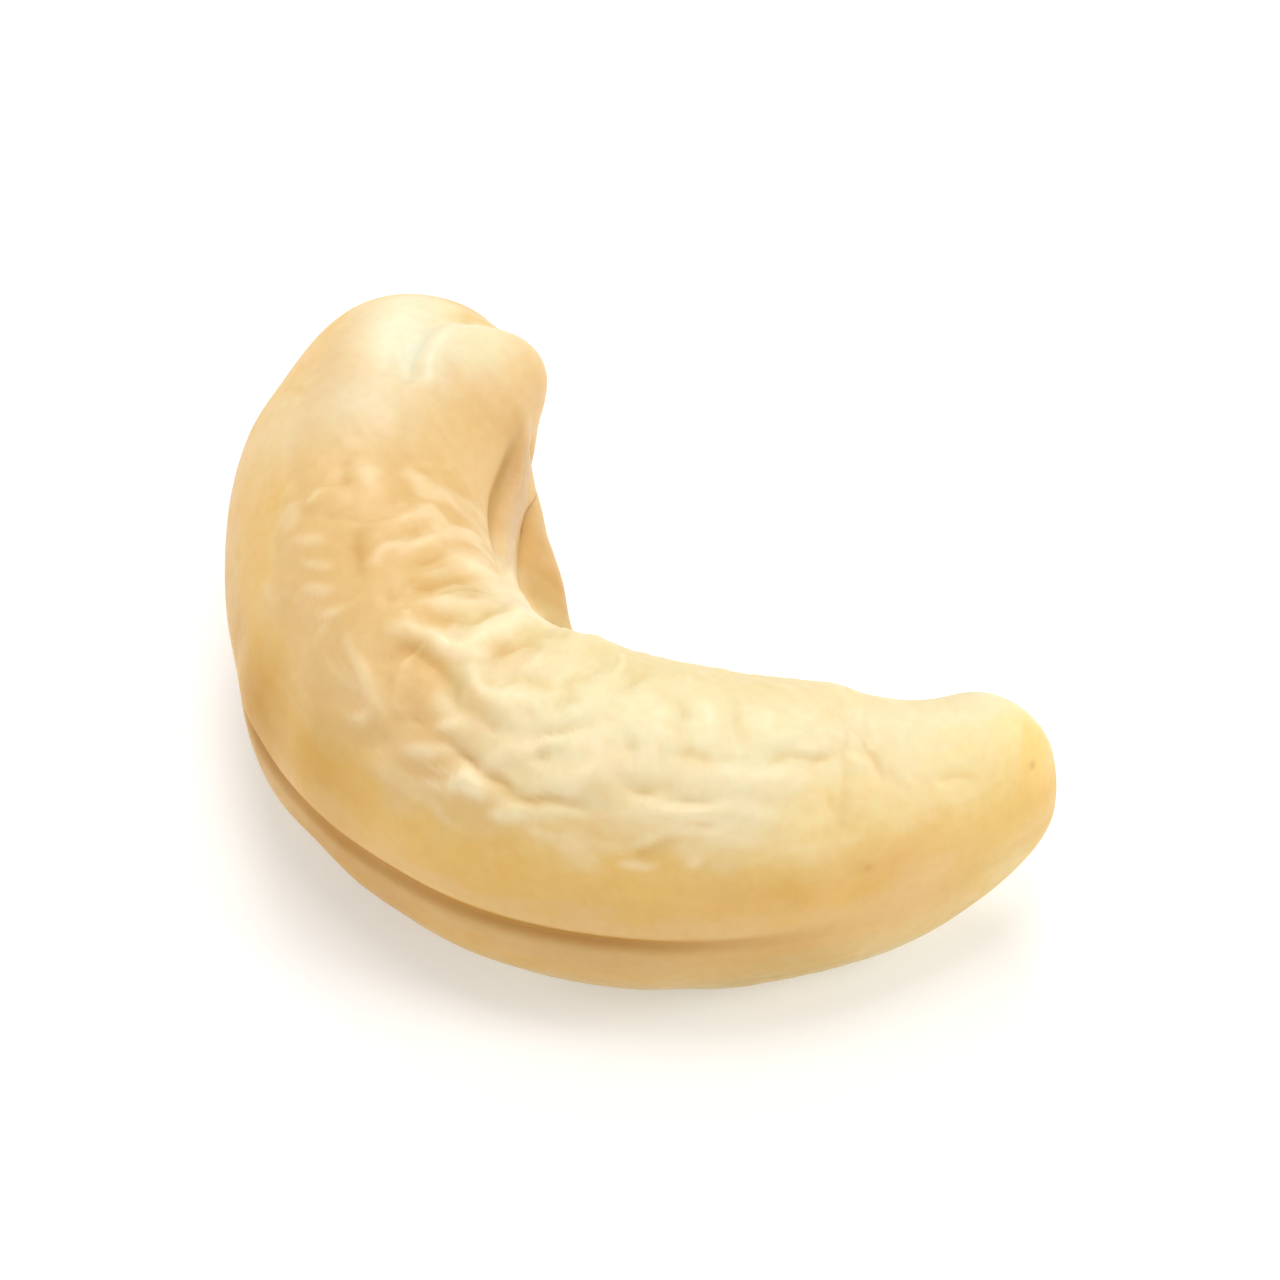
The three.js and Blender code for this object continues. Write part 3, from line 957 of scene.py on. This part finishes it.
class Nodes:
    """Short forms for the nodes that the kernel's material uses."""

    def __init__(self, material):
        material.use_nodes = True
        self.tree = material.node_tree
        self.shader = self.tree.nodes["Principled BSDF"]

    def new(self, kind, values=()):
        node = self.tree.nodes.new(kind)
        set_inputs(node, dict(values))
        return node

    def link(self, source, target):
        self.tree.links.new(source, target)

    def mask(self, name):
        node = self.new("ShaderNodeAttribute")
        node.attribute_name = name
        return node.outputs["Fac"]

    def mixed(self, below, colour, share, blend):
        """The colour below with a plain one mixed in."""
        node = self.new("ShaderNodeMix")
        node.data_type = "RGBA"
        node.blend_type = blend
        first, second = [socket for socket in node.inputs if socket.type == "RGBA"]
        self.link(share, node.inputs[0])
        self.link(below, first)
        second.default_value = colour
        return next(socket for socket in node.outputs if socket.type == "RGBA")

    def ramp(self, share, stops):
        node = self.new("ShaderNodeValToRGB")
        node.color_ramp.interpolation = "LINEAR"
        elements = node.color_ramp.elements
        while len(elements) < len(stops):
            elements.new(0.5)
        for element, (place, colour) in zip(elements, stops):
            element.position = place
            element.color = linear(*colour)
        self.link(share, node.inputs["Fac"])
        return node.outputs["Color"]

    def noise(self, scale, detail):
        """Noise from 0 to 1 in the kernel's own space."""
        node = self.new("ShaderNodeTexNoise", {"Scale": scale, "Detail": detail})
        self.link(self.new("ShaderNodeTexCoord").outputs["Object"], node.inputs["Vector"])
        return node.outputs["Fac"]

    def drift(self, scale, detail, span, result):
        """Noise whose span runs smoothly from the least to the most result."""
        ends = zip(("From Min", "From Max", "To Min", "To Max"), (*span, *result))
        node = self.new("ShaderNodeMapRange", ends)
        node.interpolation_type = "SMOOTHSTEP"
        self.link(self.noise(scale, detail), node.inputs["Value"])
        return node.outputs["Result"]


def kernel_colour(nodes):
    colour = nodes.ramp(nodes.mask("across"), ACROSS)
    for name, layer in LAYERS.items():
        share = nodes.drift(*DRIFTS[name]) if name in DRIFTS else nodes.mask(name)
        blend = "MULTIPLY" if name in MULTIPLIED else "MIX"
        colour = nodes.mixed(colour, linear(*layer), share, blend)
    return colour


def kernel_material():
    material = bpy.data.materials.new("roasted_kernel")
    nodes = Nodes(material)
    set_inputs(nodes.shader, FINISH)
    bump = nodes.new("ShaderNodeBump", BUMP)
    nodes.link(nodes.noise(*GRAIN), bump.inputs["Height"])
    inputs = nodes.shader.inputs
    nodes.link(kernel_colour(nodes), inputs["Base Color"])
    nodes.link(nodes.drift(*ROUGHNESS), inputs["Roughness"])
    nodes.link(bump.outputs["Normal"], inputs["Normal"])
    return material


def off_tips(grid):
    return smooth(grid.along, OFF_TIPS) * smooth(grid.to_slim_tip, OFF_TIPS)


def wobble(grid, parts):
    """Noises added up by their shares, and still at the tips."""
    total = sum(by * noise(name, grid.along, grid.turn) for name, by in parts.items())
    return total * off_tips(grid)


def highlight_share(grid):
    offset = (grid.solid - PAINTED_HIGHLIGHT["centre"]) / PAINTED_HIGHLIGHT["spreads"]
    return bell(np.linalg.norm(offset, axis=-1), 1)


def cream_share(grid):
    """How pale the faces are: golden, partly as painted shade, on the blunt arm, cream beyond it, on
    the blunt cap and under the painted highlight.
    """
    along = grid.along + wobble(grid, CREAM_WOBBLE)
    beyond = smooth(along, CREAM["along"])
    beyond = beyond * smooth(grid.right + along - grid.along, CREAM["right"])
    cap = CREAM_CAP["share"] * (1 - smooth(along, CREAM_CAP["end"]))
    cap = cap * smooth(grid.height, CREAM_CAP["height"])
    cap = cap * (1 - CAP_INSIDE["less"] * smooth(-grid.cos, CAP_INSIDE["edge"]))
    cap = cap * (1 - CAP_NUB["less"] * smooth(grid.right, CAP_NUB["right"]))
    return np.clip(CREAM["least"] + beyond + cap + highlight_share(grid), 0, 1)


def across_shares(grid):
    """The place across the kernel that the colours go by, and the share of golden face, partly
    painted shade.
    """
    beyond = grid.beyond_belt + wobble(grid, BELT_WOBBLE)
    share = 0.5 + 0.5 * beyond / np.where(beyond > 0, FACE_ANGLE, BELT_ANGLE)
    cream = cream_share(grid)
    arm_belt = ARM_BELT["share"] * (1 - smooth(grid.along, ARM_BELT["end"]))
    arm_belt = arm_belt * smooth(grid.height, ARM_BELT["height"])
    golden_and_shaded_face = (1 - cream) * np.maximum(smooth(beyond, GOLDEN["edge"]), arm_belt)
    return np.clip(np.minimum(share, 0.5 + 0.5 * cream), 0, 1), golden_and_shaded_face


def spots_share(grid, spots):
    """The share of the strongest spot at each point."""
    shares = [share * bell(away_from(grid.solid, centre), spread) for centre, spread, share in spots]
    return np.max(shares, axis=0)


def toast_and_shade_share(grid):
    edge = smooth(noise("toast_and_shade", grid.along, grid.turn), TOAST_AND_SHADE_PATCHES["edge"])
    patches = TOAST_AND_SHADE_PATCHES["share"] * edge * off_tips(grid)
    patches = patches * (1 - smooth(grid.height, TOAST_AND_SHADE_PATCHES["top"]))
    end = smooth(grid.along, TOAST_AND_SHADE_END["along"])
    patches = patches * (1 - end * smooth(grid.cos, TOAST_AND_SHADE_END["outside"]))
    return np.clip(spots_share(grid, TOAST_SPOTS) + patches, 0, 1)


def end_face_gold_and_light_share(grid):
    right, up = np.moveaxis(seen_places(grid.solid), -1, 0)
    share = END_FACE_GOLD_AND_LIGHT["share"] * smooth(right, END_FACE_GOLD_AND_LIGHT["right"]) * smooth(up, END_FACE_GOLD_AND_LIGHT["up"])
    return share * smooth(grid.facing_camera, END_FACE_GOLD_AND_LIGHT["seen"])


def crest_share(grid, golden_and_shaded_face):
    risen = CREST["share"] * smooth(grid.relief, CREST["relief"]) * grid.faces
    pale = np.maximum(risen, CREST["marked"] * grid.crests)
    off_arm = smooth(grid.right, OFF_ARM["right"]) * (1 - smooth(grid.away, OFF_ARM["away"]))
    golden = np.clip(golden_and_shaded_face + 1 - grid.faces, 0, 1) * (1 - off_arm)
    return np.clip(pale, 0, CREST["most"]) * (1 - CREST["less_on_gold"] * golden)


def painted_belt_light_share(grid, across):
    shares = [
        lit["share"] * smooth(grid.right, lit["right"]) * smooth(grid.above, lit["above"])
        for lit in (LIT_BELT, LIT_TIP)
    ]
    return np.maximum(*shares) * (1 - smooth(across, LIT_END))


def lower_pale_share(grid):
    share = LOWER_PALER["share"] * smooth(-grid.above, LOWER_PALER["below"])
    share = share * smooth(grid.right, LOWER_PALER["right"])
    return share * (1 - smooth(grid.right, LOWER_PALER["right_end"]))


def rim_share(grid):
    share = RIM["share"] * smooth(-grid.above, RIM["below"])
    share = share * smooth(grid.cos, RIM["outside"]) * smooth(grid.along, RIM["along"])
    return share * (1 - RIM_LESS["by"] * smooth(grid.right, RIM_LESS["right"]))


def lower_shade_share(grid):
    share = smooth(-grid.above, LOWER_SHADE["below"])
    return share * (1 - LOWER_SHADE["less"] * smooth(grid.along, SEAM_FADE))


def seam_shade_share(grid):
    line = bell(grid.above - SEAM_SHADE["above"], SEAM_SHADE["spread"])
    inside = SEAM_SHADE["inside"] * seam_left("inner", grid.along)
    left = np.where(grid.cos > 0, seam_left("outer", grid.along), inside)
    return SEAM_SHADE["share"] * line * smooth(np.abs(grid.cos), SEAM_REACH) * left


def pit_share(grid):
    root_tip = PIT_SHADE["less"] * bell(grid.off_pit, PIT_SHADE["root_tip"])
    return bell(grid.off_pit, PIT_SHADE["spread"]) * (1 - root_tip)


def kernel_masks(grid):
    """The shares by which the material mixes its colours, by attribute name."""
    across, golden_and_shaded_face = across_shares(grid)
    painted_highlight = PAINTED_HIGHLIGHT["share"] * highlight_share(grid)
    return {
        "across": across,
        "golden_and_shaded_face": GOLDEN["share"] * golden_and_shaded_face,
        "toast_and_shade": toast_and_shade_share(grid),
        "end_face_gold_and_light": end_face_gold_and_light_share(grid),
        "crest": crest_share(grid, golden_and_shaded_face),
        "valley": VALLEY_SHADE["share"] * smooth(-grid.relief, VALLEY_SHADE["relief"]),
        "flap": FLAP_SHADE_SHARE * grid.flap,
        "flap_groove": FLAP_GROOVE_SHADE_SHARE * grid.flap_groove,
        "painted_highlight": np.maximum(painted_highlight, spots_share(grid, PALE_SPOTS)),
        "belt_painted_light": painted_belt_light_share(grid, across),
        "lower_pale": lower_pale_share(grid),
        "rim": rim_share(grid),
        "lower": lower_shade_share(grid),
        "seam": seam_shade_share(grid),
        "pit": pit_share(grid),
        "speck": spots_share(grid, SPECKS),
    }


def add_object(name, data):
    thing = bpy.data.objects.new(name, data)
    bpy.context.collection.objects.link(thing)
    return thing


def aim(thing, place, direction):
    thing.location = place
    thing.rotation_mode = "QUATERNION"
    thing.rotation_quaternion = direction.to_track_quat("-Z", "Y")


def add_kernel():
    grid = kernel_surface()
    mesh = closed_mesh("roasted_kernel", placed(grid))
    for name, values in kernel_masks(grid).items():
        add_mask(mesh, name, values)
    mesh.materials.append(kernel_material())
    kernel = add_object("roasted_kernel", mesh)
    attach(kernel, "root")
    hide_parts("cashew_kernel")


def add_camera():
    data = bpy.data.cameras.new("camera")
    data.lens = CAMERA["lens"]
    data.sensor_width = CAMERA["sensor"]
    data.clip_start, data.clip_end = CLIP
    camera = add_object("camera", data)
    back = Vector(turned(camera_direction()))
    distance = CAMERA["seen_width"] * CAMERA["lens"] / CAMERA["sensor"]
    aim(camera, Vector(CAMERA["aim"]) + back * distance, -back)
    bpy.context.scene.camera = camera


def floor_material():
    material = bpy.data.materials.new("pale_floor")
    material.use_nodes = True
    set_inputs(material.node_tree.nodes["Principled BSDF"], FLOOR_FINISH)
    return material


def add_floor():
    half = FLOOR_HALF
    corners = [(-half, -half, 0), (half, -half, 0), (half, half, 0), (-half, half, 0)]
    mesh = bpy.data.meshes.new("floor")
    mesh.from_pydata(corners, [], [(0, 1, 2, 3)])
    mesh.materials.append(floor_material())
    floor = add_object("floor", mesh)


def add_light(name, place, power):
    data = bpy.data.lights.new(name, "AREA")
    data.shape = "DISK"
    data.size = LIGHT_SIZE
    data.energy = power
    aim(add_object(name, data), place, Vector(LIGHT_AIM) - Vector(place))


def add_world():
    world = bpy.data.worlds.new("studio")
    world.use_nodes = True
    set_inputs(world.node_tree.nodes["Background"], SKY)
    bpy.context.scene.world = world
    bpy.context.scene.view_settings.view_transform = "Standard"


add_kernel()
add_camera()
add_floor()
for name_place_power in LIGHTS:
    add_light(*name_place_power)
add_world()
